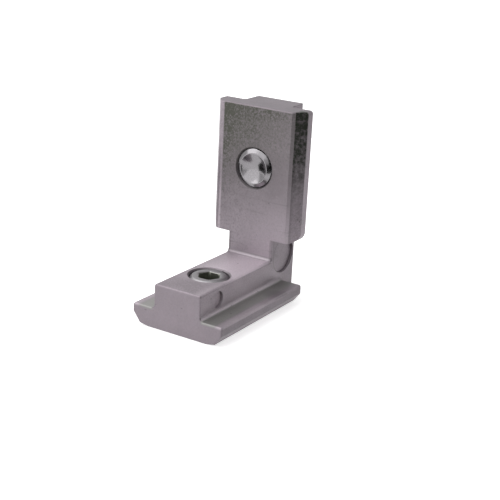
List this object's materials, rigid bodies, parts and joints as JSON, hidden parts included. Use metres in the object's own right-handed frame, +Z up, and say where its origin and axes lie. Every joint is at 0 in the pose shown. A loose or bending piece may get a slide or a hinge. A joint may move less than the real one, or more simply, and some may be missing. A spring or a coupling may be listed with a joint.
{
  "type": "t slot corner bracket",
  "caption": "Cast L-shaped corner bracket whose two T-section legs slide into 8 mm T-slots and are locked by socket set screws.",
  "frame": {"origin": "centre of the bounding box at the flat underside of the base leg", "axes": "+X from the back of the elbow towards the tip of the base leg, +Y across the legs to the side with the ejector marks, +Z up along the upright leg"},
  "size_m": [0.0254, 0.0154, 0.0299],
  "materials": {
    "zinc_casting": "as cast zinc alloy, fine grain, dull grey",
    "base_screw_steel": "zinc plated steel",
    "upright_screw_steel": "bright zinc plated steel"
  },
  "bodies": {
    "bracket": {"bracket_body": "zinc_casting"},
    "base_screw": {"base_leg_set_screw": "base_screw_steel"},
    "upright_screw": {"upright_leg_set_screw": "upright_screw_steel"}
  },
  "joints": [
    {"name": "base_screw_travel", "type": "slide", "parent": "bracket", "child": "base_screw", "axis": [0, 0, -1], "range_m": [-0.003, 0.003]},
    {"name": "upright_screw_travel", "type": "slide", "parent": "bracket", "child": "upright_screw", "axis": [1, 0, 0], "range_m": [-0.003, 0.003]}
  ]
}
